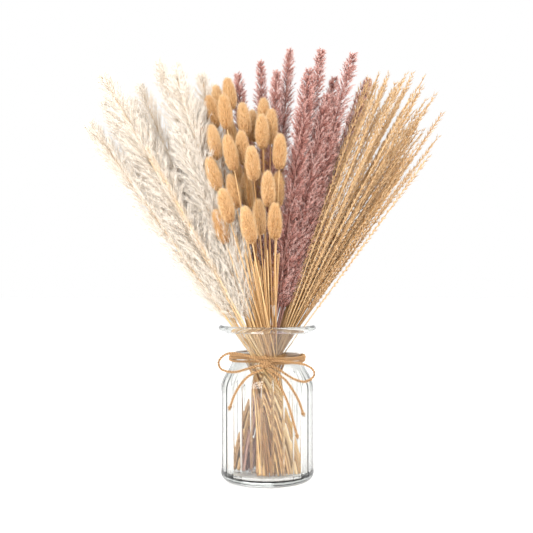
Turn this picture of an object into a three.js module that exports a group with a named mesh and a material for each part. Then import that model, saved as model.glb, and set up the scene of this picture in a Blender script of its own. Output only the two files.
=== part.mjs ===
// A dried grass bouquet in a ribbed glass vase, with a jute twine bow tied round the neck.
// Millimetres, +Z up. The origin is the middle of the vase's flat underside and -Y is the front.
// Four bundles stand side by side: white pampas, bunny tails, mauve reed plumes and tan reeds.
import * as THREE from "three";

// ---- vase: each size can be set by itself ----
const VASE_HEIGHT = 159; // underside to the top of the lip
const BODY_RADIUS = 48; // over the ribs
const NECK_RADIUS = 35.8; // outside, where the twine sits
const RIM_RADIUS = 43.5; // outside, just under the lip
const LIP_BEAD = 3.2; // radius of the rolled lip
const WALL = 3; // glass thickness
const FLOOR = 7; // thickness of the glass floor
const BASE_CORNER = 9; // radius between the underside and the body
const SHOULDER_DROP = 31; // from the middle of the neck down to the straight body
const NECK_DROP = 33; // from the top of the lip down to the middle of the neck
const RIBS = 28; // rounded vertical flutes round the body
const RIB_DEPTH = 1.2;

// ---- twine ----
const TWINE = 2.6; // diameter
const WRAP_TURNS = 3;
const WRAP_PITCH = 3.1; // height from one turn to the next
const WRAP_FACETS = 32;
const TWINE_SIDES = 8;
const TWINE_STEP = 6.2; // length of one tube step

// ---- stalks ----
const TOUCH = 0.3; // gap left between pieces that touch in the real object
const STEM_SIDES = 6;
const NEAREST_RINGS = 1.5; // rings closer than this are left out
const PLACE_DROP = 54; // the places below are measured up from this far under the lip's top
const CROSSING_DROP = 14; // the stalks cross this far below the middle of the neck
const CROSSING_SPREAD = 34; // how far each stalk passes beside the axis, for a slope of 1
const FOOT_DRAW = 1.45; // how hard the glass draws steep stalks in at their feet
const DRAW_STEPS = 5; // rings on each stalk between its foot and the crossing
const FOOT_CLEARANCE = 1.5; // cut ends above the glass floor

// Each kind of grass: stem and head sizes, its colour and the outline of its head.
// An outline point is [share of the head's length from the tip, share of the head's radius].
const BUNNY = {
  stem: 1.3,
  head: 14.4,
  length: 36,
  color: "#e0b278",
  outline: [[0, 0.2], [0.08, 0.58], [0.24, 0.88], [0.5, 1], [0.76, 0.92], [0.93, 0.6]],
};
const PAMPAS = {
  stem: 2.4,
  head: 15,
  length: 205,
  color: "#efe4d6",
  outline: [[0, 0.1], [0.12, 0.6], [0.35, 1], [0.65, 0.85], [0.85, 0.5]],
};
const MAUVE = {
  stem: 2.3,
  head: 15,
  length: 245,
  color: "#9a6a64",
  outline: [[0, 0.1], [0.12, 0.55], [0.35, 0.95], [0.65, 0.85], [0.85, 0.5]],
};
const TAN = {
  stem: 1.5,
  head: 8,
  length: 140,
  color: "#d9b98a",
  outline: [[0, 0.15], [0.15, 0.7], [0.45, 1], [0.8, 0.6]],
};

// Where each head is: [x, y, height above the crossing]. A bunny tail's place is the
// middle of its head, and a plume's is its tip.
const BUNNY_PLACES = [
  [-37.5, 14, 296], [-52, 28, 290], [-43.6, -16, 271], [-57, 5, 275], [-67, 20, 258],
  [-54, -20, 241], [-64.5, -2, 241], [-36.3, -36, 229], [-25, -4, 265], [-25, -20, 234],
  [-14.8, -42, 216], [-3.7, 8, 272], [-5, -22, 250], [4.7, -6, 259], [-14.2, 22, 262],
  [12.6, -28, 230], [1, -40, 192], [9.6, -8, 194], [7.3, -45, 161], [-18.9, -55, 158],
  [-41.3, -50, 175], [-54.6, -27, 208], [-34.7, -22, 191], [-47.8, -26, 156],
  [-21, 2, 194], [-8.6, -20, 165],
];
const PAMPAS_PLACES = [
  [-181, -10, 259], [-165, -28, 306], [-140, 12, 286], [-137, 36, 306],
  [-113, 8, 327], [-93, -20, 310], [-75, 48, 320], [-95, 58, 334],
];
const MAUVE_PLACES = [
  [-28, 42, 324], [-11, 40, 336], [10, 26, 322], [23, 46, 350], [43, -15, 316],
  [57, 15, 341], [73, 42, 318], [90, 10, 337], [109, 32, 315],
];
const TAN_PLACES = [
  [115, 14, 314], [122, -20, 307], [151, 10, 314], [154, -30, 292], [177, 25, 295],
  [182, -5, 270], [181, 30, 251], [162, -20, 224], [131, 8, 190],
];

// ---- places worked out from the sizes ----
const NECK_Z = VASE_HEIGHT - NECK_DROP;
const BODY_TOP_Z = NECK_Z - SHOULDER_DROP;
const RIM_Z = VASE_HEIGHT - 2 * LIP_BEAD;
const WRAP_HALF = ((WRAP_TURNS - 1) * WRAP_PITCH + TWINE) / 2;
const CROSSING_Z = NECK_Z - CROSSING_DROP;
const FOOT_Z = FLOOR + FOOT_CLEARANCE;
const LIP_RADIUS = RIM_RADIUS + LIP_BEAD;

const bouquet = new THREE.Group();

function addPiece(name, geometry, color, roughness = 0.9, more = {}) {
  const material = new THREE.MeshStandardMaterial({ color, roughness, metalness: 0, ...more });
  const piece = new THREE.Mesh(geometry, material);
  piece.name = name;
  bouquet.add(piece);
  return piece;
}

// A closed solid of level rings: centres and radii from the bottom up, with flat ends.
function loft(centres, radii, sides) {
  const points = [];
  const faces = [];
  centres.forEach((centre, k) => {
    for (let i = 0; i < sides; i++) {
      const turn = (2 * Math.PI * i) / sides;
      const x = centre.x + radii[k] * Math.cos(turn);
      const y = centre.y + radii[k] * Math.sin(turn);
      points.push(x, y, centre.z);
    }
  });
  const at = (k, i) => k * sides + (i % sides);
  for (let k = 0; k + 1 < centres.length; k++) {
    for (let i = 0; i < sides; i++) {
      faces.push(at(k, i), at(k, i + 1), at(k + 1, i + 1));
      faces.push(at(k, i), at(k + 1, i + 1), at(k + 1, i));
    }
  }
  const top = centres.length - 1;
  for (let i = 1; i + 1 < sides; i++) {
    faces.push(at(0, 0), at(0, i + 1), at(0, i));
    faces.push(at(top, 0), at(top, i), at(top, i + 1));
  }
  const geometry = new THREE.BufferGeometry();
  geometry.setAttribute("position", new THREE.Float32BufferAttribute(points, 3));
  geometry.setIndex(faces);
  geometry.computeVertexNormals();
  return geometry;
}

// ---- vase ----

// Outside radius of the glass from the base corner to the lip.
function glassRadius(z) {
  if (z < BODY_TOP_Z) return BODY_RADIUS;
  if (z < NECK_Z) {
    const share = (z - BODY_TOP_Z) / (NECK_Z - BODY_TOP_Z);
    return NECK_RADIUS + (BODY_RADIUS - NECK_RADIUS) * (0.5 + 0.5 * Math.cos(Math.PI * share));
  }
  const share = (z - NECK_Z) / (RIM_Z - NECK_Z);
  return NECK_RADIUS + (RIM_RADIUS - NECK_RADIUS) * share ** 1.5;
}

const boreRadius = (z) => glassRadius(z) - WALL;

function spread(low, high, steps) {
  return Array.from({ length: steps + 1 }, (_, i) => low + ((high - low) * i) / steps);
}

// Points on a quarter or more of a circle in the profile plane, both ends included.
function arc(radius, height, size, from, to, steps) {
  return spread(from, to, steps).map(
    (turn) => new THREE.Vector2(radius + size * Math.cos(turn), height + size * Math.sin(turn)),
  );
}

function makeVase() {
  const shoulder = spread(BODY_TOP_Z, NECK_Z - WRAP_HALF, 3);
  const flare = spread(NECK_Z + WRAP_HALF, RIM_Z, 2);
  const levels = [...shoulder, NECK_Z, ...flare];
  const outside = levels.map((z) => new THREE.Vector2(glassRadius(z), z));
  const inside = levels.map((z) => new THREE.Vector2(boreRadius(z), z)).reverse();
  const corner = Math.max(BASE_CORNER - WALL, 1);
  const profile = [
    new THREE.Vector2(0, 0),
    ...arc(BODY_RADIUS - BASE_CORNER, BASE_CORNER, BASE_CORNER, -Math.PI / 2, 0, 3),
    new THREE.Vector2(BODY_RADIUS, BASE_CORNER + 0.08 * (BODY_TOP_Z - BASE_CORNER)),
    ...outside,
    ...arc(LIP_RADIUS, VASE_HEIGHT - LIP_BEAD, LIP_BEAD, -0.3, Math.PI + 0.3, 4),
    ...inside,
    ...arc(boreRadius(0) - corner, FLOOR + corner, corner, 0, -Math.PI / 2, 2),
    new THREE.Vector2(0, FLOOR),
  ];
  const geometry = new THREE.LatheGeometry(profile, 2 * RIBS);
  geometry.rotateX(Math.PI / 2);
  const position = geometry.getAttribute("position");
  const ribFoot = BASE_CORNER + 0.04 * (BODY_TOP_Z - BASE_CORNER);
  for (let i = 0; i < position.count; i++) {
    const radius = Math.hypot(position.getX(i), position.getY(i));
    const z = position.getZ(i);
    const onBody = radius > BODY_RADIUS - WALL / 2 && z > ribFoot && z < BODY_TOP_Z + 1;
    const segment = Math.floor(i / profile.length);
    if (!onBody || segment % 2 === 0) continue;
    const shrink = (radius - RIB_DEPTH) / radius;
    position.setXY(i, position.getX(i) * shrink, position.getY(i) * shrink);
  }
  geometry.computeVertexNormals();
  return geometry;
}

addPiece("glass_vase", makeVase(), "#dfe9e6", 0.05, { transparent: true, opacity: 0.35 });

// ---- twine: the wrap, the knot, two loops and three tails ----

function makeWrap() {
  const lastTurn = ((WRAP_TURNS - 1) * WRAP_PITCH) / 2;
  const outer = spread(-lastTurn, lastTurn, WRAP_TURNS - 1).flatMap((up) =>
    arc(WRAP_BACK + TWINE / 2, NECK_Z + up, TWINE / 2, -1.1, 1.1, 2),
  );
  const profile = [
    new THREE.Vector2(WRAP_BACK, NECK_Z - WRAP_HALF),
    ...outer,
    new THREE.Vector2(WRAP_BACK, NECK_Z + WRAP_HALF),
    new THREE.Vector2(WRAP_BACK, NECK_Z - WRAP_HALF),
  ];
  const geometry = new THREE.LatheGeometry(profile, WRAP_FACETS);
  geometry.rotateX(Math.PI / 2);
  return geometry;
}

// The glass swells above and below the neck, so the back of the wrap clears it at both edges,
// and the flat of each of the wrap's facets clears it too.
const WRAP_EDGES = [glassRadius(NECK_Z - WRAP_HALF), glassRadius(NECK_Z + WRAP_HALF)];
const WRAP_BACK = (Math.max(...WRAP_EDGES) + TOUCH) / Math.cos(Math.PI / WRAP_FACETS);
const WRAP_FRONT = WRAP_BACK + TWINE;

const TWINE_COLOR = "#c99a63";
addPiece("neck_wrap", makeWrap(), TWINE_COLOR);

const KNOT = { width: 10, depth: 7, height: 9 };
const KNOT_X = -2.5;
const KNOT_Y = -(WRAP_FRONT + TOUCH + KNOT.depth / 2);
const KNOT_Z = NECK_Z - 3.6;

const knot = addPiece("bow_knot", new THREE.SphereGeometry(0.5, 10, 7), TWINE_COLOR);
knot.scale.set(KNOT.width, KNOT.depth, KNOT.height);
knot.position.set(KNOT_X, KNOT_Y, KNOT_Z);

// Routes are in millimetres from the middle of the knot.
const ROUTES = {
  bow_loop_left: [
    [-5.6, 1.6, 2.6], [-13, 1.2, 7], [-24.5, 2, 10.2], [-35, 4.6, 10.8], [-42.5, 7.4, 7],
    [-46, 8.6, 1.2], [-44, 7.6, -4.4], [-38, 4.6, -7], [-29, 1.4, -7.4], [-20, -0.4, -5],
    [-12, -0.8, -2.6], [-5.8, 0, -1.2],
  ],
  bow_loop_right: [
    [5.8, 1.6, 2.8], [12, 1.2, 3.7], [20.5, 1.4, 2.5], [31, 2, 1.4], [40.5, 4, -1],
    [47, 6, -5], [49.2, 6, -10], [46, 4, -14.7], [39, 0.4, -17], [30.5, -3.6, -14.6],
    [22, -4.4, -10], [14, -2.4, -4.6], [6, 0, -1.2],
  ],
  bow_tail_left: [
    [-1.8, -0.4, -5.4], [-8, -3, -7], [-16, -4.2, -11], [-24.3, -2.4, -20],
    [-31, 3, -32.6], [-34.2, 6.8, -42],
  ],
  bow_tail_right_long: [
    [1.9, -0.4, -5.2], [8.4, -5.4, -10], [14.2, -7.8, -19.4], [21, -5.8, -33],
    [25.8, -2.8, -48], [31.4, 1.2, -69],
  ],
  bow_tail_right_short: [
    [4.6, -3.6, -3.6], [11.6, -7.8, -8], [20, -9.4, -14], [25.8, -6.4, -22],
    [33, 0, -35], [37.6, 5.4, -48],
  ],
};

function makeTwine(route) {
  const points = route.map(
    ([x, y, z]) => new THREE.Vector3(KNOT_X + x, KNOT_Y + y, KNOT_Z + z),
  );
  const path = new THREE.CatmullRomCurve3(points);
  const section = new THREE.Shape();
  for (let i = 0; i < TWINE_SIDES; i++) {
    const turn = (2 * Math.PI * i) / TWINE_SIDES;
    const corner = [(TWINE / 2) * Math.cos(turn), (TWINE / 2) * Math.sin(turn)];
    if (i === 0) section.moveTo(...corner);
    else section.lineTo(...corner);
  }
  const steps = Math.ceil(path.getLength() / TWINE_STEP);
  return new THREE.ExtrudeGeometry(section, { extrudePath: path, steps });
}

for (const [name, route] of Object.entries(ROUTES)) addPiece(name, makeTwine(route), TWINE_COLOR);

// ---- stalks ----
// Every stalk has a slope [x, y]. All of them pass beside the axis with the same twist, at a
// distance set by the slope, so straight stalks of different slopes never meet: they lie as
// the stems of a hand-tied spiral bunch do. Under the crossing the glass draws steep ones in.

const stretch = (z) => Math.hypot(z - CROSSING_Z, CROSSING_SPREAD);

// How hard a stalk of slope 1 is drawn in at height z: not at all above the crossing.
function drawIn(z) {
  return FOOT_DRAW * Math.max(0, (CROSSING_Z - z) / (CROSSING_Z - FOOT_Z));
}

function slopeThrough([x, y], z) {
  const up = z - CROSSING_Z;
  const scale = 1 / (up * up + CROSSING_SPREAD ** 2);
  return [(up * x + CROSSING_SPREAD * y) * scale, (up * y - CROSSING_SPREAD * x) * scale];
}

function stalkPoint(slope, z) {
  const up = z - CROSSING_Z;
  const scale = 1 / (1 + drawIn(z) * Math.hypot(...slope));
  return new THREE.Vector3(
    (up * slope[0] - CROSSING_SPREAD * slope[1]) * scale,
    (up * slope[1] + CROSSING_SPREAD * slope[0]) * scale,
    z,
  );
}

function makeStalk(name, kind, place, placedAt) {
  const z = VASE_HEIGHT - PLACE_DROP + place[2];
  const tip = z + placedAt * kind.length;
  return {
    name,
    kind,
    tip,
    base: tip - kind.length,
    slope: slopeThrough(place, z),
  };
}

function stalkRadius(stalk, z) {
  const { kind } = stalk;
  const stem = kind.stem / 2;
  const share = (stalk.tip - z) / kind.length;
  if (share < 0) return 0;
  if (share >= 1) return stem;
  const outline = [...kind.outline, [1, stem / (kind.head / 2)]];
  const next = outline.findIndex(([at]) => at > share);
  const [at0, size0] = outline[next - 1];
  const [at1, size1] = outline[next];
  return (kind.head / 2) * (size0 + ((size1 - size0) * (share - at0)) / (at1 - at0));
}

// Moves slopes apart until no two stalks touch at any height, and in from the glass.
function spreadApart(stalks) {
  const ROUNDS = 1500;
  const LEVEL = 7;
  const PAD = 0.06;
  const highest = Math.max(...stalks.map((stalk) => stalk.tip));
  const levels = [CROSSING_Z];
  for (let z = FOOT_Z; z < highest; z += LEVEL) levels.push(z);
  const radii = stalks.map((stalk) => levels.map((z) => stalkRadius(stalk, z)));
  const scales = levels.map(stretch);
  const draws = levels.map(drawIn);
  for (let round = 0; round < ROUNDS; round++) {
    let moved = false;
    for (let i = 0; i < stalks.length; i++) {
      const a = stalks[i].slope;
      for (let j = i + 1; j < stalks.length; j++) {
        const b = stalks[j].slope;
        let apart = Math.hypot(a[0] - b[0], a[1] - b[1]);
        const steepest = Math.max(Math.hypot(...a), Math.hypot(...b));
        let need = 0;
        levels.forEach((_, k) => {
          if (!radii[i][k] || !radii[j][k]) return;
          const scale = scales[k] / (1 + draws[k] * steepest) ** 2;
          need = Math.max(need, (radii[i][k] + radii[j][k] + TOUCH + PAD) / scale);
        });
        if (apart >= need) continue;
        moved = true;
        if (apart < 1e-6) apart = 1e-6;
        const push = (need * 1.002 - apart) / 2 / apart;
        const step = [(a[0] - b[0]) * push, (a[1] - b[1]) * push];
        a[0] += step[0];
        a[1] += step[1];
        b[0] -= step[0];
        b[1] -= step[1];
      }
      levels.forEach((z, k) => {
        if (z >= RIM_Z) return;
        const room = boreRadius(z) - radii[i][k] - TOUCH;
        const most = room / Math.max(scales[k] - draws[k] * room, 1);
        const size = Math.hypot(...a);
        if (size <= most) return;
        moved = true;
        a[0] *= most / size;
        a[1] *= most / size;
      });
    }
    if (!moved) break;
  }
  return stalks;
}

function stalkGeometry(stalk) {
  const { kind } = stalk;
  const drop = (CROSSING_Z - FOOT_Z) / DRAW_STEPS;
  const bend = Array.from({ length: DRAW_STEPS + 1 }, (_, i) => FOOT_Z + i * drop);
  const head = kind.outline.map(([share]) => stalk.tip - share * kind.length);
  const heights = [...bend, stalk.base, ...head]
    .sort((a, b) => a - b)
    .filter((z, i, all) => i === 0 || z - all[i - 1] > NEAREST_RINGS);
  const centres = heights.map((z) => stalkPoint(stalk.slope, z));
  const radii = heights.map((z) => stalkRadius(stalk, z));
  return loft(centres, radii, STEM_SIDES);
}

const two = (number) => String(number).padStart(2, "0");
const stalks = spreadApart([
  ...BUNNY_PLACES.map((place, i) => makeStalk("bunny_tail_" + two(i + 1), BUNNY, place, 0.5)),
  ...PAMPAS_PLACES.map((place, i) => makeStalk("white_pampas_" + (i + 1), PAMPAS, place, 0)),
  ...MAUVE_PLACES.map((place, i) => makeStalk("mauve_reed_" + (i + 1), MAUVE, place, 0)),
  ...TAN_PLACES.map((place, i) => makeStalk("tan_reed_" + (i + 1), TAN, place, 0)),
]);

for (const stalk of stalks) addPiece(stalk.name, stalkGeometry(stalk), stalk.kind.color);

export default bouquet;
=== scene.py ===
import bpy
import numpy as np
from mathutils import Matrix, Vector


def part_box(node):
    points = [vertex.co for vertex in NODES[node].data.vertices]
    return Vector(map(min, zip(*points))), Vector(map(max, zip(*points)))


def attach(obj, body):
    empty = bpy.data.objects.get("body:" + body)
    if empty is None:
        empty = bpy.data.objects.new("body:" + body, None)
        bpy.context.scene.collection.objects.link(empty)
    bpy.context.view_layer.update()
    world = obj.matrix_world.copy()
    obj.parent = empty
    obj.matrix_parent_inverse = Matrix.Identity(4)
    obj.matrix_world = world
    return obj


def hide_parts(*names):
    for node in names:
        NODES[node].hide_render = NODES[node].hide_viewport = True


# A dried grass bouquet in a ribbed glass vase. Metres, +Z up, and -Y is the front.
# Sections: camera and lights, mesh making, materials, twine, vase, stalks, the four grasses.
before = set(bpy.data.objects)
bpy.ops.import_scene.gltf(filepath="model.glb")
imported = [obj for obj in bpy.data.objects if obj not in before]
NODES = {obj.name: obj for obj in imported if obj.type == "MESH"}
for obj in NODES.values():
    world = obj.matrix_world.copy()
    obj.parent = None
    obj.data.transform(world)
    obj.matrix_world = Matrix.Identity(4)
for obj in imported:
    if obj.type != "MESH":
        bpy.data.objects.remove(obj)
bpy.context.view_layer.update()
MM = 0.001
chance = np.random.default_rng(26)

# ------------------------------------------------------------------ camera and lights

CAMERA_DISTANCE = 1.0
CAMERA_HEIGHT = 0.219
CAMERA_LENS = 65.6  # mm, on a 36 mm sensor

camera = bpy.data.objects.new("camera", bpy.data.cameras.new("camera"))
camera.data.lens = CAMERA_LENS
camera.data.sensor_width = 36
camera.location = (-0.0008, -CAMERA_DISTANCE, CAMERA_HEIGHT)
camera.rotation_euler = (np.pi / 2, 0, 0)
bpy.context.scene.collection.objects.link(camera)
bpy.context.scene.camera = camera
bpy.context.scene.view_settings.view_transform = "Standard"


def add_lamp(name, place, aim, size, power):
    """A soft square lamp that points at aim."""
    lamp = bpy.data.objects.new(name, bpy.data.lights.new(name, "AREA"))
    lamp.data.size = size
    lamp.data.energy = power
    lamp.location = place
    lamp.visible_glossy = False  # a soft box would mirror as a hard square in the glass
    lamp.rotation_euler = (Vector(aim) - Vector(place)).to_track_quat("-Z", "Y").to_euler()
    bpy.context.scene.collection.objects.link(lamp)


MIDDLE = (0, 0, 0.25)
add_lamp("key_softbox", (-0.7, -1.4, 1.0), MIDDLE, 1.0, 30)
add_lamp("fill_softbox", (1.1, -1.1, 0.6), MIDDLE, 1.1, 12)
add_lamp("back_softbox", (0.4, 1.4, 1.0), MIDDLE, 1.2, 12)

# ------------------------------------------------------------------ mesh making


class Pile:
    """Points and triangles gathered for one mesh, each point with a place on its UV map."""

    def __init__(self):
        self.points = []
        self.faces = []
        self.places = []
        self.slots = []
        self.count = 0

    def add(self, points, faces, places, slot=0):
        self.points.append(np.asarray(points, np.float32))
        self.faces.append(np.asarray(faces, np.int32) + self.count)
        self.places.append(np.asarray(places, np.float32))
        self.slots.append(np.full(len(faces), slot, np.int32))
        self.count += len(points)

    def make(self, name, materials, smooth=True):
        points = np.concatenate(self.points)
        faces = np.concatenate(self.faces)
        places = np.concatenate(self.places)
        mesh = bpy.data.meshes.new(name)
        mesh.vertices.add(len(points))
        mesh.vertices.foreach_set("co", points.ravel())
        mesh.loops.add(faces.size)
        mesh.loops.foreach_set("vertex_index", faces.ravel())
        mesh.polygons.add(len(faces))
        mesh.polygons.foreach_set("loop_start", np.arange(0, faces.size, 3, dtype=np.int32))
        mesh.polygons.foreach_set("material_index", np.concatenate(self.slots))
        mesh.polygons.foreach_set("use_smooth", np.full(len(faces), smooth))
        layer = mesh.uv_layers.new(name="OFBake")
        layer.data.foreach_set("uv", places[faces.ravel()].ravel())
        mesh.update(calc_edges=True)
        for material in materials:
            mesh.materials.append(material)
        piece = bpy.data.objects.new(name, mesh)
        bpy.context.scene.collection.objects.link(piece)
        return piece


def unit(vectors):
    return vectors / np.maximum(np.linalg.norm(vectors, axis=-1, keepdims=True), 1e-12)


def across(directions):
    """Two unit vectors square to each direction."""
    steep = np.abs(directions[..., 2:]) > 0.9
    helper = np.where(steep, np.array([1.0, 0, 0]), np.array([0, 0, 1.0]))
    side = unit(np.cross(directions, helper))
    return side, np.cross(directions, side)


def add_hairs(pile, root, tip, width, tint, slot=0, bow=None, shape=(0.5, 0.42)):
    """Closed three-sided hairs, or husks where shape swells the middle over the root. The map
    holds each hair's tint across and its length up."""
    count = len(root)
    width = np.broadcast_to(width, count)[:, None]
    tint = np.broadcast_to(tint, count)
    direction = unit(tip - root)
    side, up = across(direction)
    turns = 2 * np.pi * (np.arange(3) / 3) + chance.uniform(0, 6, (count, 1))
    ring = np.cos(turns)[..., None] * side[:, None] + np.sin(turns)[..., None] * up[:, None]
    spread = np.array([-0.004, 0, 0.004])
    low = root[:, None] + ring * width[:, None] * shape[0]
    rows = [low]
    heights = [0.0]
    if bow is not None:
        rows.append(((root + tip) * 0.5 + bow)[:, None] + ring * width[:, None] * shape[1])
        heights.append(0.5)
    points = np.concatenate(rows + [tip[:, None]], axis=1)
    each = points.shape[1]
    places = np.zeros((count, each, 2))
    for k, height in enumerate(heights):
        places[:, 3 * k : 3 * k + 3, 0] = tint[:, None] + spread
        places[:, 3 * k : 3 * k + 3, 1] = height + np.array([0, 0.02, 0])
    places[:, -1, 0] = tint
    places[:, -1, 1] = 1
    faces = [(0, 2, 1)]
    for k in range(len(rows) - 1):
        for i in range(3):
            j = (i + 1) % 3
            a, b = 3 * k + i, 3 * k + j
            faces += [(a, b, b + 3), (a, b + 3, a + 3)]
    top = each - 4
    faces += [(top + i, top + (i + 1) % 3, each - 1) for i in range(3)]
    faces = np.array(faces)[None] + (np.arange(count) * each)[:, None, None]
    pile.add(points.reshape(-1, 3), faces.reshape(-1, 3), places.reshape(-1, 2), slot)


def add_tube(pile, centres, radii, sides, low=0.0, high=1.0, slot=0, facing=None):
    """A closed tube. Across, its map runs from high on the side it faces to low behind."""
    centres = np.asarray(centres, float)
    radii = np.broadcast_to(radii, len(centres))
    tangent = unit(np.gradient(centres, axis=0))
    if facing is None:
        facing = np.broadcast_to(across(tangent[0])[0], centres.shape)
    side = unit(facing - tangent * np.sum(facing * tangent, axis=-1, keepdims=True))
    up = np.cross(tangent, side)
    angles = np.linspace(0, 2 * np.pi, sides + 1)
    ring = np.cos(angles)[None, :, None] * side[:, None] + np.sin(angles)[None, :, None] * up[:, None]
    body = centres[:, None] + ring[:, :-1] * radii[:, None, None]
    rows = len(centres)
    points = np.concatenate([body.reshape(-1, 3), centres[:1], centres[-1:]])
    climb = np.linspace(0, 1, rows)
    share = 0.5 + 0.5 * np.cos(angles[:-1])
    places = np.stack(np.broadcast_arrays(low + (high - low) * share[None], climb[:, None]), -1)
    middle = (low + high) / 2
    places = np.concatenate([places.reshape(-1, 2), [[middle, 0.0], [middle, 1.0]]])
    k, i = np.meshgrid(np.arange(rows - 1), np.arange(sides), indexing="ij")
    j = (i + 1) % sides
    a, b, c, d = k * sides + i, k * sides + j, (k + 1) * sides + j, (k + 1) * sides + i
    faces = np.concatenate([np.stack([a, b, c], -1), np.stack([a, c, d], -1)]).reshape(-1, 3)
    i = np.arange(sides)
    j = (i + 1) % sides
    foot = np.full(sides, rows * sides)
    last = (rows - 1) * sides
    ends = [np.stack([foot, j, i], -1), np.stack([foot + 1, last + i, last + j], -1)]
    pile.add(points, np.concatenate([faces, *ends]), places, slot)


def smooth_route(points, steps):
    """Points at even spacing on a smooth curve through the given ones (centripetal spline)."""
    points = np.asarray(points, float)
    padded = np.concatenate([[2 * points[0] - points[1]], points, [2 * points[-1] - points[-2]]])
    gaps = np.sqrt(np.linalg.norm(np.diff(padded, axis=0), axis=1))
    knots = np.concatenate([[0], np.cumsum(gaps)])
    pieces = []
    for i in range(1, len(padded) - 2):
        t0, t1, t2, t3 = knots[i - 1 : i + 3]
        p0, p1, p2, p3 = padded[i - 1 : i + 3]
        t = np.linspace(t1, t2, 24, endpoint=False)[:, None]
        a1 = (t1 - t) / (t1 - t0) * p0 + (t - t0) / (t1 - t0) * p1
        a2 = (t2 - t) / (t2 - t1) * p1 + (t - t1) / (t2 - t1) * p2
        a3 = (t3 - t) / (t3 - t2) * p2 + (t - t2) / (t3 - t2) * p3
        b1 = (t2 - t) / (t2 - t0) * a1 + (t - t0) / (t2 - t0) * a2
        b2 = (t3 - t) / (t3 - t1) * a2 + (t - t1) / (t3 - t1) * a3
        pieces.append((t2 - t) / (t2 - t1) * b1 + (t - t1) / (t2 - t1) * b2)
    dense = np.concatenate(pieces + [points[-1:]])
    length = np.concatenate([[0], np.cumsum(np.linalg.norm(np.diff(dense, axis=0), axis=1))])
    even = np.linspace(0, length[-1], steps)
    return np.stack([np.interp(even, length, dense[:, k]) for k in range(3)], -1), length[-1]


# ------------------------------------------------------------------ materials


def linear(hex_colour):
    """An sRGB hex colour as the linear RGBA that shaders take."""
    parts = [int(hex_colour[i : i + 2], 16) / 255 for i in (1, 3, 5)]
    return tuple(p / 12.92 if p <= 0.04045 else ((p + 0.055) / 1.055) ** 2.4 for p in parts) + (1,)


def add_node(tree, kind, inputs=None, stops=None, **settings):
    """Adds a shader node. Inputs are sockets to link or values; stops are a ramp's colours."""
    node = tree.nodes.new("ShaderNode" + kind)
    for name, value in settings.items():
        setattr(node, name, value)
    for name, value in (inputs or {}).items():
        if isinstance(value, bpy.types.NodeSocket):
            tree.links.new(value, node.inputs[name])
        else:
            node.inputs[name].default_value = value
    for k, (place, colour) in enumerate(stops or []):
        stop = node.color_ramp.elements[k] if k < 2 else node.color_ramp.elements.new(place)
        stop.position = place
        stop.color = linear(colour)
    return node


def new_material(name, **surface):
    """A material of one Principled surface; returns it, its tree and the surface node."""
    material = bpy.data.materials.new(name)
    material.use_nodes = True
    tree = material.node_tree
    shader = tree.nodes["Principled BSDF"]
    for socket, value in surface.items():
        shader.inputs[socket.replace("_", " ")].default_value = value
    return material, tree, shader


def dry_fibre(name, at_root, at_tip, roughness, sheen=0.0):
    """Dried plant hair or cane. The map gives tint across and root to tip up, and two ramps
    give the darkest to the palest fibre at the root and at the tip."""
    material, tree, shader = new_material(name, Roughness=roughness, Sheen_Weight=sheen)
    place = add_node(tree, "UVMap", uv_map="OFBake")
    split = add_node(tree, "SeparateXYZ", {"Vector": place.outputs["UV"]})
    stretch = add_node(tree, "Mapping", {"Vector": place.outputs["UV"], "Scale": (90, 5, 1)})
    streak = add_node(tree, "TexNoise", {"Vector": stretch.outputs["Vector"], "Scale": 1.0})
    nudge = add_node(
        tree,
        "Math",
        {0: streak.outputs["Fac"], 1: 0.35, 2: split.outputs["X"]},
        operation="MULTIPLY_ADD",
    )
    tint = add_node(tree, "Math", {0: nudge.outputs[0], 1: 0.175}, operation="SUBTRACT")
    low = add_node(tree, "ValToRGB", {"Fac": tint.outputs[0]}, stops=at_root)
    high = add_node(tree, "ValToRGB", {"Fac": tint.outputs[0]}, stops=at_tip)
    blend = add_node(
        tree,
        "Mix",
        {0: split.outputs["Y"], 6: low.outputs["Color"], 7: high.outputs["Color"]},
        data_type="RGBA",
    )
    tree.links.new(blend.outputs[2], shader.inputs["Base Color"])
    return material


# Bunny tail awns: soft cream hairs over a golden head, matte with a faint velvet sheen. Each hair is darker
# at the root, painted shade deep in the head, and pale at the tip, painted highlight.
BUNNY_AWN = dry_fibre(
    "bunny_tail_awns",
    [(0, "#9E6428"), (1, "#E6A95C")],
    [(0, "#EEB266"), (1, "#FFE9BE")],
    0.75,
    0.2,
)
# The imported florets under the awns, seen only between the hairs: their deeper gold is painted shade in
# those gaps.
BUNNY_FLORET = dry_fibre(
    "bunny_tail_florets",
    [(0, "#8A5A26"), (1, "#BF8845")],
    [(0, "#9C6B32"), (1, "#CB9A5A")],
    0.8,
)
# Dried bunny tail cane: golden straw with fine pale streaks and a slight waxy gloss.
BUNNY_CANE = dry_fibre(
    "golden_straw",
    [(0, "#80501F"), (1, "#E0B47A")],
    [(0, "#99652C"), (1, "#E8C48E")],
    0.42,
)
# Bleached pampas hair: silky cream white, darker and warmer at the root where it leaves the branch, as
# painted shade deep in the plume.
PAMPAS_HAIR = dry_fibre(
    "bleached_pampas_hair",
    [(0, "#E2C69F"), (0.4, "#F5E3CB"), (1, "#FEF2E2")],
    [(0, "#F0DFCA"), (0.4, "#FCF1E3"), (1, "#FFFAF2")],
    0.7,
    0.3,
)
# Bleached pampas cane: pale gold under the hair.
PAMPAS_CANE = dry_fibre(
    "bleached_cane",
    [(0, "#B58A52"), (1, "#DDBF90")],
    [(0, "#BD9158"), (1, "#E6CFA8")],
    0.5,
)
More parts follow.
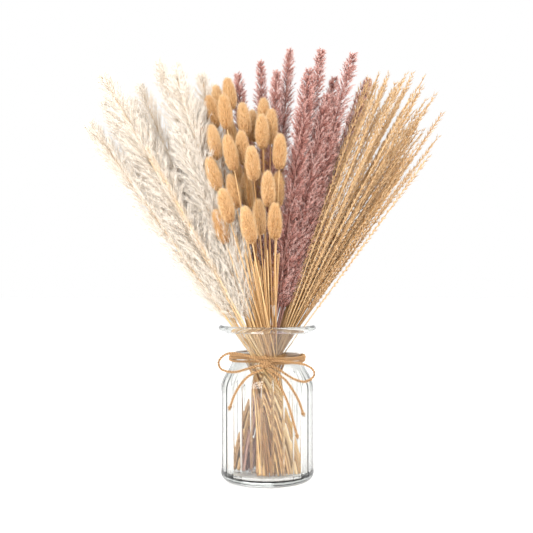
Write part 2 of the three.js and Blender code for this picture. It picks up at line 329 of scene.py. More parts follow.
# Mauve dyed reed hair: dusty rose; its pale tips are partly the reed's own frosting and partly painted
# highlight, and its darker brown-mauve roots are painted shade deep in the plume.
MAUVE_HAIR = dry_fibre(
    "mauve_reed_hair",
    [(0, "#56261F"), (0.5, "#AC5C4B"), (1, "#E09684")],
    [(0, "#A86154"), (0.5, "#F2B2A2"), (1, "#FFF0EA")],
    0.75,
    0.15,
)
# Mauve reed florets: small dark husks scattered through the hair.
MAUVE_FLORET = dry_fibre(
    "mauve_reed_florets",
    [(0, "#3A2122"), (1, "#6B4340")],
    [(0, "#4E2F30"), (1, "#8A5A56")],
    0.6,
)
# Mauve dyed cane: rosy brown with pale streaks where the dye took less.
MAUVE_CANE = dry_fibre(
    "mauve_cane",
    [(0, "#6E4840"), (1, "#B48C7C")],
    [(0, "#754A44"), (1, "#B98C80")],
    0.5,
)
# Tan reed spikelets: papery husks, straw coloured with pale tips.
TAN_HUSK = dry_fibre(
    "tan_reed_husks",
    [(0, "#8E6238"), (1, "#D2A878")],
    [(0, "#BE9260"), (1, "#F8DFB8")],
    0.65,
)
# Tan reed cane: thin dry straw.
TAN_CANE = dry_fibre(
    "tan_straw",
    [(0, "#93683A"), (1, "#CBA676")],
    [(0, "#A07848"), (1, "#D3B488")],
    0.5,
)
# Jute: spun matte bast fibre. Across each ply the map runs from brown, painted shade in the grooves of the
# twist, to straw colour, painted light on top.
JUTE = dry_fibre(
    "spun_jute",
    [(0.28, "#4A2C14"), (0.55, "#9C6E3E"), (0.92, "#D4AA78")],
    [(0.28, "#4A2C14"), (0.55, "#9C6E3E"), (0.92, "#D4AA78")],
    0.9,
    0.1,
)


def make_glass():
    """Pressed soda glass: clear, greyer where it is seen edge on, slightly wavy from the mould."""
    surface = {"Base_Color": linear("#EEEEEC"), "Roughness": 0.01, "IOR": 1.5}
    material, tree, shader = new_material("pressed_soda_glass", Transmission_Weight=1.0, **surface)
    WAVE_PERIOD = 0.012  # metres between the soft waves of the mould
    place = add_node(tree, "TexCoord")
    wave = add_node(
        tree,
        "TexNoise",
        {"Vector": place.outputs["Object"], "Scale": 1 / WAVE_PERIOD, "Detail": 1.0},
    )
    bump = add_node(
        tree,
        "Bump",
        {"Height": wave.outputs["Fac"], "Strength": 0.08, "Distance": 0.0006},
    )
    tree.links.new(bump.outputs["Normal"], shader.inputs["Normal"])
    # Lamps shine through the walls on to the stems.
    ray = add_node(tree, "LightPath")
    clear = add_node(tree, "BsdfTransparent", {"Color": (0.8, 0.8, 0.8, 1)})
    surface = add_node(
        tree,
        "MixShader",
        {0: ray.outputs["Is Shadow Ray"], 1: shader.outputs["BSDF"], 2: clear.outputs["BSDF"]},
    )
    body = add_node(tree, "VolumeAbsorption", {"Color": linear("#C4CAC8"), "Density": 9.0})
    output = tree.nodes["Material Output"]
    tree.links.new(surface.outputs["Shader"], output.inputs["Surface"])
    tree.links.new(body.outputs["Volume"], output.inputs["Volume"])
    return material


def make_plain(name, colour, roughness):
    """A plain painted stage surface."""
    return new_material(name, Base_Color=linear(colour), Roughness=roughness)[0]


# ------------------------------------------------------------------ twine

TWINE = 2.6 * MM  # diameter
PLIES = 2
PLY_PITCH = 5.4 * MM  # length of one full twist
vase_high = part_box("glass_vase")[1]
wrap_low, wrap_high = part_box("neck_wrap")
knot_low, knot_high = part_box("bow_knot")
NECK_Z = (wrap_low.z + wrap_high.z) / 2
KNOT = (knot_low + knot_high) / 2


def add_twine(pile, centres, length, diameter=TWINE, fuzz=1.0):
    """Two plies laid round a centreline, with stray fibres standing off them."""
    tangent = unit(np.gradient(centres, axis=0))
    side, up = across(tangent)
    run = np.linspace(0, length, len(centres))
    ply = diameter * 0.24
    for k in range(PLIES):
        angle = 2 * np.pi * (run / PLY_PITCH + k / PLIES)
        offset = np.cos(angle)[:, None] * side + np.sin(angle)[:, None] * up
        wobble = 1 + 0.05 * np.sin(run / (1.7 * MM) + 2 * k)
        low = 0.02 + 0.03 * k
        place = centres + offset * diameter * 0.26
        # Each ply turns the pale end of its map outward: painted light on top of the ply and painted shade
        # toward the groove.
        add_tube(pile, place, ply * wobble, 8, low, low + 0.85, facing=offset)
    count = int(length / MM * 10 * fuzz)
    at = chance.integers(1, len(centres) - 1, count)
    turn = chance.uniform(0, 2 * np.pi, (count, 1))
    out = np.cos(turn) * side[at] + np.sin(turn) * up[at]
    lean = chance.choice([-1, 1], (count, 1)) * chance.uniform(0.8, 2.2, (count, 1))
    root = centres[at] + out * diameter * 0.42
    reach = chance.uniform(0.5, 1.8, (count, 1)) * MM
    tip = root + unit(out + tangent[at] * lean) * reach
    add_hairs(pile, root, tip, 0.18 * MM, chance.uniform(0.5, 0.95, count))


# Routes in millimetres from the middle of the knot, as the CAD part has them.
ROUTES = {
    "bow_loop_left": [
        (-5.6, 1.6, 2.6), (-13, 1.2, 7), (-24.5, 2, 10.2), (-35, 4.6, 10.8), (-42.5, 7.4, 7),
        (-46, 8.6, 1.2), (-44, 7.6, -4.4), (-38, 4.6, -7), (-29, 1.4, -7.4), (-20, -0.4, -5),
        (-12, -0.8, -2.6), (-5.8, 0, -1.2),
    ],
    "bow_loop_right": [
        (5.8, 1.6, 2.8), (12, 1.2, 3.7), (20.5, 1.4, 2.5), (31, 2, 1.4), (40.5, 4, -1),
        (47, 6, -5), (49.2, 6, -10), (46, 4, -14.7), (39, 0.4, -17), (30.5, -3.6, -14.6),
        (22, -4.4, -10), (14, -2.4, -4.6), (6, 0, -1.2),
    ],
    "bow_tail_left": [
        (-1.8, -0.4, -5.4), (-8, -3, -7), (-16, -4.2, -11), (-24.3, -2.4, -20),
        (-31, 3, -32.6), (-34.2, 6.8, -42),
    ],
    "bow_tail_right_long": [
        (1.9, -0.4, -5.2), (8.4, -5.4, -10), (14.2, -7.8, -19.4), (21, -5.8, -33),
        (25.8, -2.8, -48), (31.4, 1.2, -69),
    ],
    "bow_tail_right_short": [
        (4.6, -3.6, -3.6), (11.6, -7.8, -8), (20, -9.4, -14), (25.8, -6.4, -22),
        (33, 0, -35), (37.6, 5.4, -48),
    ],
}


def make_end_knot(name, end, direction):
    """A small overhand knot with a frayed brush of fibres under it."""
    pile = Pile()
    side, up = across(direction[None])
    side, up = side[0], up[0]
    turn = np.linspace(0, 4 * np.pi, 40)
    radius = 1.15 * MM
    climb = np.linspace(-0.9, 0.9, 40)[:, None] * MM
    ball = end + direction * 1.2 * MM + climb * direction
    ball = ball + radius * (np.cos(turn)[:, None] * side + np.sin(turn)[:, None] * up)
    add_twine(pile, ball, 14 * MM, TWINE * 0.75, 0.5)
    count = 46
    spread = chance.normal(0, 0.28, (count, 2))
    aim = unit(direction + spread[:, :1] * side + spread[:, 1:] * up)
    root = end + direction * 2.2 * MM + (spread[:, :1] * side + spread[:, 1:] * up) * 1.5 * MM
    tip = root + aim * chance.uniform(2, 4.5, (count, 1)) * MM
    add_hairs(pile, root, tip, 0.3 * MM, chance.uniform(0.4, 0.95, count))
    knot = pile.make(name, [JUTE])
    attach(knot, "root")
    return knot


for name, route in ROUTES.items():
    points = np.array(route) * MM + np.array(KNOT)
    centres, length = smooth_route(points, 150)
    pile = Pile()
    add_twine(pile, centres, length)
    cord = pile.make(name + "_twine", [JUTE])
    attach(cord, "root")
    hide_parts(name)
    is_tail = "tail" in name
    end = [make_end_knot(name + "_end_knot", centres[-1], unit(centres[-1] - centres[-4]))] if is_tail else []


def make_neck_wrap():
    """Three turns of twine in one climbing run round the neck."""
    pile = Pile()
    turns = 3
    steps = 700
    angle = np.linspace(0, 2 * np.pi * turns, steps) - np.pi / 2
    radius = wrap_high.x - TWINE / 2
    climb = np.linspace(wrap_low.z + TWINE / 2, wrap_high.z - TWINE / 2, steps)
    sway = 0.6 * MM * np.sin(angle * 1.3) + 0.35 * MM * np.sin(angle * 3.1)
    out = radius + 0.3 * MM * np.sin(angle * 2.3)
    centres = np.stack([out * np.cos(angle), out * np.sin(angle), climb + sway], -1)
    add_twine(pile, centres, 2 * np.pi * radius * turns, fuzz=0.7)
    wrap = pile.make("neck_wrap_twine", [JUTE])
    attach(wrap, "root")
    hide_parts("neck_wrap")


def make_bow_knot():
    """The tied middle: strands that cross level behind two upright turns."""
    pile = Pile()
    middle = np.array(KNOT)
    size = np.array(knot_high - knot_low) / 2
    for x, squeeze in ((-0.24, 1.0), (0.26, 0.94)):
        turn = np.linspace(0, 2 * np.pi, 60)
        loop = np.stack([np.full(60, x), -np.cos(turn) * 0.66 * squeeze, np.sin(turn) * 0.68 * squeeze], -1)
        loop[:, 0] += 0.12 * np.sin(turn)
        add_twine(pile, middle + loop * size, 19 * MM, TWINE * 0.95, 0.8)
    for drop, lean in ((0.42, -0.15), (-0.1, 0.1), (-0.45, -0.1)):
        x = np.linspace(-1.12, 1.12, 40)
        strand = np.stack([x, -0.12 * np.cos(x * 1.5), drop + lean * x], -1)
        add_twine(pile, middle + strand * size, 11 * MM, TWINE * 0.85, 0.8)
    knot = pile.make("bow_knot_twine", [JUTE])
    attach(knot, "root")
    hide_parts("bow_knot")


make_neck_wrap()
make_bow_knot()

# ------------------------------------------------------------------ vase

RIBS = 28
RIB_BULGE = 0.03 * MM  # how far the middle of a rib stands over its edges
RIB_GROOVE = 0.5 * MM  # how much deeper the narrow groove between two ribs goes
GROOVE_WIDTH = 0.07  # as a share of the rib
WALL = 3 * MM
FLOOR = 7 * MM
BASE_CORNER = 9 * MM
LIP_BEAD = 3.2 * MM
BODY_RADIUS = 48 * MM  # over the ribs; the lip is wider
VASE_HEIGHT = vase_high.z
NECK_RADIUS = 35.8 * MM
RIM_RADIUS = 43.5 * MM
BODY_TOP = NECK_Z - 31 * MM
RIM_Z = VASE_HEIGHT - 2 * LIP_BEAD


def glass_radius(z):
    """Outside radius of the glass: straight body, shoulder, neck and flare."""
    shoulder = np.clip((z - BODY_TOP) / (NECK_Z - BODY_TOP), 0, 1)
    flare = np.clip((z - NECK_Z) / (RIM_Z - NECK_Z), 0, 1)
    body = NECK_RADIUS + (BODY_RADIUS - NECK_RADIUS) * (0.5 + 0.5 * np.cos(np.pi * shoulder))
    return body + (RIM_RADIUS - NECK_RADIUS) * flare**1.5


def arc(radius, z, size, start, end, steps):
    turn = np.linspace(start, end, steps)
    return np.stack([radius + size * np.cos(turn), z + size * np.sin(turn)], -1)


def make_vase():
    """Lathed glass whose outside is pressed into rounded ribs from the foot to the shoulder."""
    levels = np.concatenate([
        np.linspace(BASE_CORNER, BODY_TOP, 12)[1:],
        np.linspace(BODY_TOP, RIM_Z, 26)[1:],
    ])
    # Rows close to the corner under the lip keep its shading tight.
    levels = np.sort(np.append(levels, RIM_Z - 0.4 * MM))
    outside = np.stack([glass_radius(levels), levels], -1)
    inside_levels = levels[levels > FLOOR + 7 * MM][::-1]
    inside = np.stack([glass_radius(inside_levels) - WALL, inside_levels], -1)
    corner = BASE_CORNER - WALL
    bead = RIM_RADIUS + LIP_BEAD
    profile = np.concatenate([
        [(0, 0.9 * MM), (BODY_RADIUS * 0.6, 0.9 * MM), (BODY_RADIUS * 0.72, 0)],
        arc(BODY_RADIUS - BASE_CORNER, BASE_CORNER, BASE_CORNER, -np.pi / 2, 0, 9),
        outside,
        [(RIM_RADIUS + 0.4 * MM, RIM_Z + 0.05 * MM), (bead - 0.6 * MM, RIM_Z + 0.1 * MM)],
        arc(bead, VASE_HEIGHT - LIP_BEAD, LIP_BEAD, -1.3, np.pi + 0.5, 22),
        inside,
        arc(BODY_RADIUS - WALL - corner, FLOOR + corner, corner, 0, -np.pi / 2, 8),
        [(BODY_RADIUS * 0.4, FLOOR), (0, FLOOR)],
    ])
    # Places across a rib from its middle, close together at the groove on its edge.
    half = np.array([0.22, 0.34, 0.39, 0.43, 0.465, 0.5])
    across_rib = np.tile(np.concatenate([-half[-2::-1], [0], half]), RIBS)
    around = len(across_rib)
    angle = 2 * np.pi * (np.repeat(np.arange(RIBS), around // RIBS) + across_rib) / RIBS
    outer_rows = np.arange(len(profile)) < 3 + 9 + len(outside)
    z = profile[:, 1]
    fade_foot = np.clip((z - 3 * MM) / (9 * MM), 0, 1)
    fade_top = np.clip((NECK_Z - 9 * MM - z) / (12 * MM), 0, 1)
    from_edge = (0.5 - np.abs(across_rib)) / GROOVE_WIDTH
    groove = RIB_BULGE * (2 * across_rib) ** 2 + RIB_GROOVE * np.exp(-(from_edge**2))
    radius = profile[:, :1] - (fade_foot * fade_top * outer_rows)[:, None] * groove[None]
    heights = np.broadcast_to(z[:, None], radius.shape)
    ring = np.stack([radius * np.cos(angle), radius * np.sin(angle), heights], -1)
    ring = ring[1:-1]
    rows = len(ring)
    points = np.concatenate([ring.reshape(-1, 3), [(0, 0, z[0])], [(0, 0, z[-1])]])
    faces = []
    for k in range(rows - 1):
        for i in range(around):
            j = (i + 1) % around
            faces.append((k * around + i, k * around + j, (k + 1) * around + j, (k + 1) * around + i))
    foot, floor = rows * around, rows * around + 1
    last = (rows - 1) * around
    for i in range(around):
        j = (i + 1) % around
        faces.append((foot, j, i))
        faces.append((floor, last + i, last + j))
    mesh = bpy.data.meshes.new("ribbed_glass_vase")
    mesh.from_pydata(points.tolist(), [], faces)
    mesh.polygons.foreach_set("use_smooth", np.full(len(faces), True))
    mesh.materials.append(make_glass())
    mesh.update()
    vase = bpy.data.objects.new("ribbed_glass_vase", mesh)
    bpy.context.scene.collection.objects.link(vase)
    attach(vase, "root")
    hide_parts("glass_vase")


make_vase()

# ------------------------------------------------------------------ stalks
# The stalks of a hand-tied spiral bunch: each has a slope, and all pass beside the axis with
# the same twist, so straight stalks of different slopes never meet.

CROSSING_Z = NECK_Z - 14 * MM
CROSSING_SPREAD = 34 * MM
FOOT_Z = FLOOR + 1.5 * MM
FOOT_DRAW = 1.45  # how hard the glass draws steep stalks in at their feet


def stalk_line(slope, z):
    """The centreline of the stalk with that slope, at heights z."""
    up = z - CROSSING_Z
    draw = FOOT_DRAW * np.clip(-up / (CROSSING_Z - FOOT_Z), 0, None)
    scale = 1 / (1 + draw * np.hypot(*slope))
    x = (up * slope[0] - CROSSING_SPREAD * slope[1]) * scale
    y = (up * slope[1] + CROSSING_SPREAD * slope[0]) * scale
    return np.stack([x, y, z], -1)


def slope_to(place):
    """The slope of the stalk that passes through a place over the crossing."""
    x, y, z = place
    up = z - CROSSING_Z
    turned = np.array([up * x + CROSSING_SPREAD * y, up * y - CROSSING_SPREAD * x])
    return turned / (up**2 + CROSSING_SPREAD**2)


def cad_stalk(node):
    """The slope of a CAD stalk, from the middle of its top ring, and the height of its tip."""
    points = np.array([v.co for v in NODES[node].data.vertices])
    top = points[:, 2].max()
    ring = points[points[:, 2] > top - 0.2 * MM]
    middle = (ring.min(0) + ring.max(0)) / 2
    return slope_to(middle), top


class CaneBundle:
    """All the canes of one grass in one mesh, each on its own strip of the map."""

    def __init__(self, count):
        self.pile = Pile()
        self.count = count
        self.made = 0
        self.strips = chance.permutation(count)

    def add(self, slope, top, diameter, joint_gap=70 * MM, line=None):
        levels = np.arange(FOOT_Z + chance.uniform(0, 2) * MM, top, 4 * MM)
        levels = np.append(levels, top)
        centres = line(levels) if line else stalk_line(slope, levels)
        joint = (levels + chance.uniform(0, joint_gap)) % joint_gap
        swell = 1 + 0.28 * np.exp(-((joint - joint_gap / 2) / (1.6 * MM)) ** 2)
        taper = np.interp(levels, [0, top], [1.08, 0.72])
        low = self.strips[self.made] / self.count
        width = 0.86 / self.count
        tone = chance.uniform(0, 6.28)
        facing = np.broadcast_to([np.cos(tone), np.sin(tone), 0.0], centres.shape)
        add_tube(self.pile, centres, diameter / 2 * swell * taper, 7, low, low + width, facing=facing)
        self.made += 1


def finish_piece(piece, slot, *nodes):
    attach(piece, "root")
    if nodes:
        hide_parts(*nodes)
    return piece


def fill_slopes(taken, corners, count, gap):
    """Slopes for extra stalks in a box of slopes, each at least gap from every other."""
    found = []
    for _ in range(4000):
        if len(found) == count:
            break
        slope = chance.uniform(corners[0], corners[1])
        near = [np.hypot(*(slope - other)) < gap for other in taken + found]
        if not any(near):
            found.append(slope)
    return found


# ------------------------------------------------------------------ bunny tails

BUNNY_LENGTH = 37 * MM
BUNNY_WIDTH = 14.6 * MM
TUFTS = 1000
AWNS_PER_TUFT = 5  # drawn coarser and fewer than the real ones, at 0.32 mm


def add_bunny_head(pile, base, axis, length, width, tone):
    """An egg of packed florets under tufts of awns that all sweep to the tip."""
    side, up = across(axis[None])
    side, up = side[0], up[0]
    share = np.linspace(0, 1, 24)
    swell = np.clip(1 - np.abs(2 * share**0.86 - 1) ** 2.3, 0, 1) ** 0.52 * (1.07 - 0.2 * share)
    core = base + share[:, None] * axis * length * 0.93
    add_tube(pile, core, np.maximum(swell * width * 0.35, 0.3 * MM), 14, 0.3, 0.7, slot=1)

    def stand(at, turn):
        """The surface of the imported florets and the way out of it, at a share up and a turn."""
        out = np.cos(turn)[..., None] * side + np.sin(turn)[..., None] * up
        wide = np.interp(at, share, swell) * width * 0.5
        return base + at[..., None] * axis * length * 0.87 + out * (wide * 0.62)[..., None], out

    at = ((np.arange(TUFTS) + 0.5) / TUFTS) ** 0.95
    turn = np.arange(TUFTS) * 2.39996 + chance.uniform(-0.2, 0.2, TUFTS)
    root, out = stand(at, turn)
    sweep = np.interp(at, [0, 0.1, 0.3, 0.7, 1], [0.05, 0.75, 1.2, 1.4, 2.6])[:, None]
    aim = unit(out + axis * sweep + chance.normal(0, 0.12, (TUFTS, 3)))
    reach = np.interp(at, [0, 0.1, 0.3, 1], [2.6, 3.8, 5.0, 5.2]) * MM * chance.uniform(0.85, 1.1, TUFTS)
    shape = (TUFTS, AWNS_PER_TUFT, 3)
    roots = root[:, None] + chance.normal(0, 0.45 * MM, shape)
    aims = unit(aim[:, None] + chance.normal(0, 0.17, shape))
    tips = roots + aims * reach[:, None, None] * chance.uniform(0.7, 1.12, shape[:2])[..., None]
    bow = (out[:, None] * -0.3 + chance.normal(0, 0.18, shape)) * MM
    tint = tone + chance.normal(0, 0.13, (TUFTS, 1)) + chance.normal(0, 0.18, shape[:2])
    tint = np.clip(tint, 0.03, 0.97).ravel()
    bent = np.arange(len(tint)) % 3 == 0
    roots, tips, bow = roots.reshape(-1, 3), tips.reshape(-1, 3), bow.reshape(-1, 3)
    add_hairs(pile, roots[bent], tips[bent], 0.32 * MM, tint[bent], 0, bow[bent])
    add_hairs(pile, roots[~bent], tips[~bent], 0.32 * MM, tint[~bent], 0)
    long = 110
    at = chance.uniform(0.08, 1, long)
    root, out = stand(at, chance.uniform(0, 2 * np.pi, long))
    aim = unit(out + axis * 1.7 + chance.normal(0, 0.22, (long, 3)))
    tip = root + aim * chance.uniform(6, 8.5, (long, 1)) * MM
    add_hairs(pile, root, tip, 0.13 * MM, 0.9, 0)
    specks = 16
    at = chance.uniform(0, 0.12, specks)
    root, out = stand(at, chance.uniform(0, 2 * np.pi, specks))
    root = root + out * 1.2 * MM
    add_hairs(pile, root, root + (out - axis * 0.6) * 1.3 * MM, 0.6 * MM, 0.03, 1)


# Tips of the heads at the back of the bunch, seen through its gaps and from behind.
BACK_HEADS = [
    (-1, 32, 352), (-46, 46, 358), (-22, 52, 362), (-62, 42, 335), (-33, 60, 322), (2, 50, 318),
    (-52, 58, 304), (-14, 44, 330), (-60, 22, 352), (-40, 28, 375), (-20, 26, 345), (-34, 24, 330),
    (-6, 28, 322), (-47, 12, 322), (-18, 20, 308), (12, 30, 330),
]


def make_bunny_tails():
    nodes = sorted(n for n in NODES if n.startswith("bunny_tail"))
    slopes = []
    bundle = CaneBundle(len(nodes) + len(BACK_HEADS) + 78)
    for node in nodes:
        slope, top = cad_stalk(node)
        slopes.append(slope)
        place_heads(node + "_head", slope, top, 0.5 + chance.uniform(-0.12, 0.16), bundle, [node])
    for k, place in enumerate(BACK_HEADS):
        slope = slope_to(np.array(place) * MM)
        slopes.append(slope)
        # The heads at the back take a lower tone than the front ones: painted shade.
        place_heads(f"bunny_tail_back_{k + 1}_head", slope, place[2] * MM, 0.4, bundle, [])
    for slope in fill_slopes(slopes, [(-0.24, -0.2), (0.06, 0.15)], 34, 0.018):
        bundle.add(slope, chance.uniform(0.2, 0.24), 1.4 * MM)
    # Short canes that end behind the wrap and lie slantwise across the sheaf in the glass.
    for low, high, count in (((-0.5, 0.2), (0.05, 0.5), 30), ((0.08, -0.46), (0.45, -0.22), 14)):
        for slope in fill_slopes(slopes, (low, high), count, 0.03):
            bundle.add(slope, NECK_Z + chance.uniform(-2, 5) * MM, 1.5 * MM)
    canes = bundle.pile.make("bunny_tail_canes", [BUNNY_CANE])
    finish_piece(canes, "bunny_tail")


def place_heads(name, slope, top, tone, bundle, replaced):
    length = BUNNY_LENGTH * chance.uniform(0.94, 1.06)
    width = BUNNY_WIDTH * chance.uniform(0.94, 1.06)
    ends = stalk_line(slope, np.array([top - length, top]))
    lean = np.array([chance.normal(0, 0.03), chance.normal(0, 0.03), 0])
    axis = unit(ends[1] - ends[0] + lean * length)
    pile = Pile()
    add_bunny_head(pile, ends[0], axis, length, width, tone)
    head = pile.make(name, [BUNNY_AWN, BUNNY_FLORET])
    finish_piece(head, "bunny_tail", *replaced)
    bundle.add(slope, top - length * 0.9, 1.35 * MM)


make_bunny_tails()

# ------------------------------------------------------------------ plumes


def add_plume(pile, slope, top, length, spray_reach, spray_angle, hairs, hair, tone, vary, spray_shading):
    """Feathery sprays up a stalk: each is a side branch whose hairs fan out from it. The last argument is how
    much paler a spray gets from its foot to its tip: painted shade at the foot inside the plume and painted
    light at the outer tip."""
    sprays, per_spray = hairs
    hair_reach, hair_width, hair_lean = hair
    at = np.sort(chance.uniform(0, 1, sprays) ** 0.85)
    place = stalk_line(slope, top - length * (1 - at))
    ahead = stalk_line(slope, top - length * (1 - at) + MM)
    axis = unit(ahead - place)
    side, up = across(axis)
    turn = np.arange(sprays) * 2.4 + chance.uniform(-0.4, 0.4, sprays)
    out = np.cos(turn)[:, None] * side + np.sin(turn)[:, None] * up
    size = np.interp(at, [0, 0.12, 0.5, 0.8, 0.92, 1], [0.7, 0.95, 1, 0.85, 0.58, 0.28])
    angle = spray_angle * chance.uniform(0.82, 1.18, sprays)
    aim = unit(axis * np.cos(angle)[:, None] + out * np.sin(angle)[:, None])
    reach = spray_reach * size * chance.uniform(0.75, 1.15, sprays)
    along = chance.uniform(0.02, 1, (sprays, per_spray, 1))
    path = place[:, None] + aim[:, None] * along * reach[:, None, None]
    path[..., 2:] -= (along**2) * reach[:, None, None] * 0.04
    wander = chance.normal(0, 1, (sprays, per_spray, 3))
    lean = unit(aim[:, None] + out[:, None] * 0.25 + wander * hair_lean)
    long = hair_reach * chance.uniform(0.6, 1.15, (sprays, per_spray, 1)) * (1.1 - 0.35 * along)
    long = long * (0.55 + 0.45 * size[:, None, None])
    root = path.reshape(-1, 3)
    tip = (path + lean * long).reshape(-1, 3)
    bow = (wander * 0.06 * hair_reach).reshape(-1, 3)
    shade = tone + chance.normal(0, vary, (sprays, 1)) + chance.normal(0, 0.1, (sprays, per_spray))
    # Painted shade at the foot of each spray, deep in the plume, and painted light toward its outer tip.
    shade = shade + spray_shading * (along[..., 0] - 0.5)
    tint = np.clip(shade, 0.03, 0.97).ravel()
    bent = chance.random(len(root)) < 0.3
    add_hairs(pile, root[bent], tip[bent], hair_width, tint[bent], 0, bow[bent])
    add_hairs(pile, root[~bent], tip[~bent], hair_width, tint[~bent], 0)
    return path, aim, out


def make_pampas():
    nodes = sorted(n for n in NODES if n.startswith("white_pampas"))
    stalks = [(node + "_plume", *cad_stalk(node), [node]) for node in nodes]
    slopes = [slope for _, slope, _, _ in stalks]
    for k, slope in enumerate(fill_slopes(slopes, [(-0.6, -0.06), (-0.26, 0.2)], 4, 0.05)):
        stalks.append((f"white_pampas_filler_{k + 1}_plume", slope, chance.uniform(0.34, 0.4), []))
    bundle = CaneBundle(len(stalks) + 1)
    for name, slope, top, replaced in stalks:
        pile = Pile()
        length = min(0.25, top - 0.165)
        # The plumes at the front of the bunch are the fullest; those behind take a lower tone, painted shade.
        full = slope[1] < 0.02
        spray = (33 * MM, 0.58) if full else (32 * MM, 0.45)
        tone = (0.74 if full else 0.64) + chance.uniform(-0.06, 0.1)
        hair = (10 * MM, 0.28 * MM, 0.24)
        hairs = (380, 46) if full else (330, 42)
        add_plume(pile, slope, top - 4 * MM, length, *spray, hairs, hair, tone, 0.06, 0.4)
        plume = pile.make(name, [PAMPAS_HAIR])
        finish_piece(plume, "white_pampas", *replaced)
        bundle.add(slope, top - 8 * MM, 2.3 * MM)
    # A bare golden plume lies over the gap between the two fullest ones.
    pile = Pile()
    slope = np.array([-0.545, -0.1])
    hair = (6 * MM, 0.28 * MM, 0.22)
    add_plume(pile, slope, 0.335, 0.15, 11 * MM, 0.26, (150, 30), hair, 0.1, 0.08, 0.2)
    finish_piece(pile.make("white_pampas_golden_plume", [PAMPAS_HAIR]), "white_pampas")
    bundle.add(slope, 0.32, 2.0 * MM)
    finish_piece(bundle.pile.make("white_pampas_canes", [PAMPAS_CANE]), "white_pampas")


def make_mauve_reeds():
    nodes = sorted(n for n in NODES if n.startswith("mauve_reed"))
    stalks = [(node + "_plume", *cad_stalk(node), [node]) for node in nodes]
    slopes = [slope for _, slope, _, _ in stalks]
    bundle = CaneBundle(len(nodes) + 8)
    for k, slope in enumerate(fill_slopes(slopes, [(0.02, -0.02), (0.34, 0.2)], 5, 0.045)):
        stalks.append((f"mauve_reed_filler_{k + 1}_plume", slope, chance.uniform(0.35, 0.41), []))
    for name, slope, top, replaced in stalks:
        pile = Pile()
        length = min(0.27, top - 0.178)
        full = 1.12 if slope[1] < 0.04 else 0.95
        hair = (6.6 * MM, 0.3 * MM, 0.3)
        tone = 0.52 + chance.uniform(-0.06, 0.1)
        spray = (17 * MM * full, 0.64)
        path, aim, out = add_plume(
            pile, slope, top - 4 * MM, length, *spray, (480, 29), hair, tone, 0.17, 0.8
        )
        picks = chance.integers(0, path.shape[1], (path.shape[0], 3))
        root = np.take_along_axis(path, picks[..., None], 1)
        wander = chance.normal(0, 0.4, root.shape)
        husk = root + unit(aim[:, None] + out[:, None] * 0.5 + wander) * 2.6 * MM
        add_hairs(pile, root.reshape(-1, 3), husk.reshape(-1, 3), 0.75 * MM,
                  chance.uniform(0.1, 0.9, root.shape[0] * root.shape[1]), 1)
        plume = pile.make(name, [MAUVE_HAIR, MAUVE_FLORET])
        finish_piece(plume, "mauve_reed", *replaced)
        bundle.add(slope, top - 8 * MM, 2.2 * MM)
    finish_piece(bundle.pile.make("mauve_reed_canes", [MAUVE_CANE]), "mauve_reed")


def add_tan_spike(pile, line, top, length):
    """Small husks set alternately up both sides of a thin straw, closing up to the tip."""
    count = int(length / (2.0 * MM))
    at = np.linspace(0, 1, count) + chance.uniform(-0.003, 0.003, count)
    z = top - length * (1 - at)
    place = line(z)
    axis = unit(line(z + MM) - place)
    side, up = across(axis)
    facing = chance.uniform(0, np.pi) + 0.6 * np.sin(at * 14 + chance.uniform(0, 6))
    facing = facing + chance.normal(0, 0.6, count)
    out = np.cos(facing)[:, None] * side + np.sin(facing)[:, None] * up
    out = out * np.where(np.arange(count) % 2, 1, -1)[:, None]
    fade = np.interp(at, [0, 0.3, 0.7, 0.9, 1], [0.5, 0.68, 0.85, 1.1, 0.7])[:, None]
    kinds = ((0.26, 7.2, 0.8), (0.5, 5.4, 0.7), (0.12, 5, 0.65), (0.28, 10, 0.2), (0.62, 8, 0.2))
    for spread, reach, width in kinds:
        aim = unit(axis + out * spread + chance.normal(0, 0.11, place.shape))
        root = place + out * 0.3 * MM
        tip = root + aim * reach * MM * fade * chance.uniform(0.75, 1.2, (count, 1))
        tint = np.clip(chance.normal(0.55, 0.22, count), 0.03, 0.97)
        belly = (0.25, 0.5) if width > 0.5 else (0.5, 0.42)
        add_hairs(pile, root, tip, width * MM, tint, 0, out * 0.25 * MM, belly)


def bowed_line(slope, bow):
    """The line of a stalk that its own spikelets bow outward, by bow at 250 mm over the rim."""
    outward = slope / np.linalg.norm(slope)

    def line(z):
        place = stalk_line(slope, z)
        over = np.clip(z - VASE_HEIGHT - 20 * MM, 0, None) / (250 * MM)
        place[..., :2] += outward * (bow * over**2)[..., None]
        return place

    return line


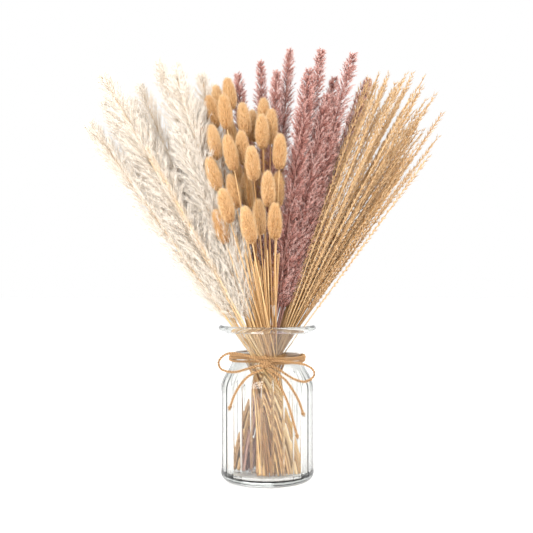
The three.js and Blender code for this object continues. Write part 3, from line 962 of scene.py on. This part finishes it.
def make_tan_reeds():
    nodes = sorted(n for n in NODES if n.startswith("tan_reed"))
    stalks = [(node, *cad_stalk(node)) for node in nodes]
    slopes = [slope for _, slope, _ in stalks]
    more = fill_slopes(slopes, [(0.33, -0.16), (0.66, 0.18)], 72, 0.018)
    bundle = CaneBundle(len(nodes) + len(more))
    for node, slope, top in stalks:
        pile = Pile()
        add_tan_spike(pile, bowed_line(slope, 0), top, min(0.22, top - 0.175))
        spike = pile.make(node + "_spike", [TAN_HUSK])
        finish_piece(spike, "tan_reed", node)
        bundle.add(slope, top - 3 * MM, 1.3 * MM)
    fillers = [Pile() for _ in range(4)]
    for k, slope in enumerate(more):
        steep = np.clip((slope[0] - 0.38) / 0.27, 0, 1)
        top = 0.418 - 0.09 * steep**2 - chance.exponential(0.02)
        bow = chance.uniform(-2, 16) * MM + steep * chance.uniform(4, 30) * MM
        line = bowed_line(slope, bow)
        add_tan_spike(fillers[k % 4], line, top, min(0.22, top - 0.175))
        bundle.add(slope, top - 3 * MM, 1.2 * MM, line=line)
    for k, pile in enumerate(fillers):
        finish_piece(pile.make(f"tan_reed_filler_{k + 1}_spikes", [TAN_HUSK]), "tan_reed")
    finish_piece(bundle.pile.make("tan_reed_canes", [TAN_CANE]), "tan_reed")


make_pampas()
make_mauve_reeds()
make_tan_reeds()

# ------------------------------------------------------------------ stage


def make_stage():
    """A white floor that the vase stands on."""
    floor_mesh = bpy.data.meshes.new("floor")
    size = 6
    corners = [(-size, -size, 0), (size, -size, 0), (size, size, 0), (-size, size, 0)]
    floor_mesh.from_pydata(corners, [], [(0, 1, 2, 3)])
    floor_mesh.materials.append(make_plain("white_card", "#FFFFFF", 0.9))
    floor = bpy.data.objects.new("floor", floor_mesh)
    floor.location = (0, 0, -0.0003)
    bpy.context.scene.collection.objects.link(floor)


def add_card(name, azimuth, colour):
    """An upright card that only glass and gloss see, to draw the edges of clear glass."""
    mesh = bpy.data.meshes.new(name)
    mesh.from_pydata([(-0.22, 0, 0), (0.22, 0, 0), (0.22, 0, 0.7), (-0.22, 0, 0.7)], [], [(0, 1, 2, 3)])
    mesh.materials.append(make_plain(name, colour, 0.9))
    card = bpy.data.objects.new(name, mesh)
    turn = np.radians(azimuth)
    card.location = (0.8 * np.sin(turn), -0.8 * np.cos(turn), 0)
    card.rotation_euler = (0, 0, turn)
    card.visible_camera = False
    card.visible_diffuse = False
    card.visible_shadow = False
    bpy.context.scene.collection.objects.link(card)


make_stage()
for k, azimuth in enumerate((-142, -108, 108, 142)):
    add_card(f"grey_card_{k + 1}", azimuth, "#C8CAC9")

world = bpy.data.worlds.new("studio")
world.use_nodes = True
world.node_tree.nodes["Background"].inputs["Color"].default_value = (1, 1, 1, 1)
world.node_tree.nodes["Background"].inputs["Strength"].default_value = 1.0
bpy.context.scene.world = world
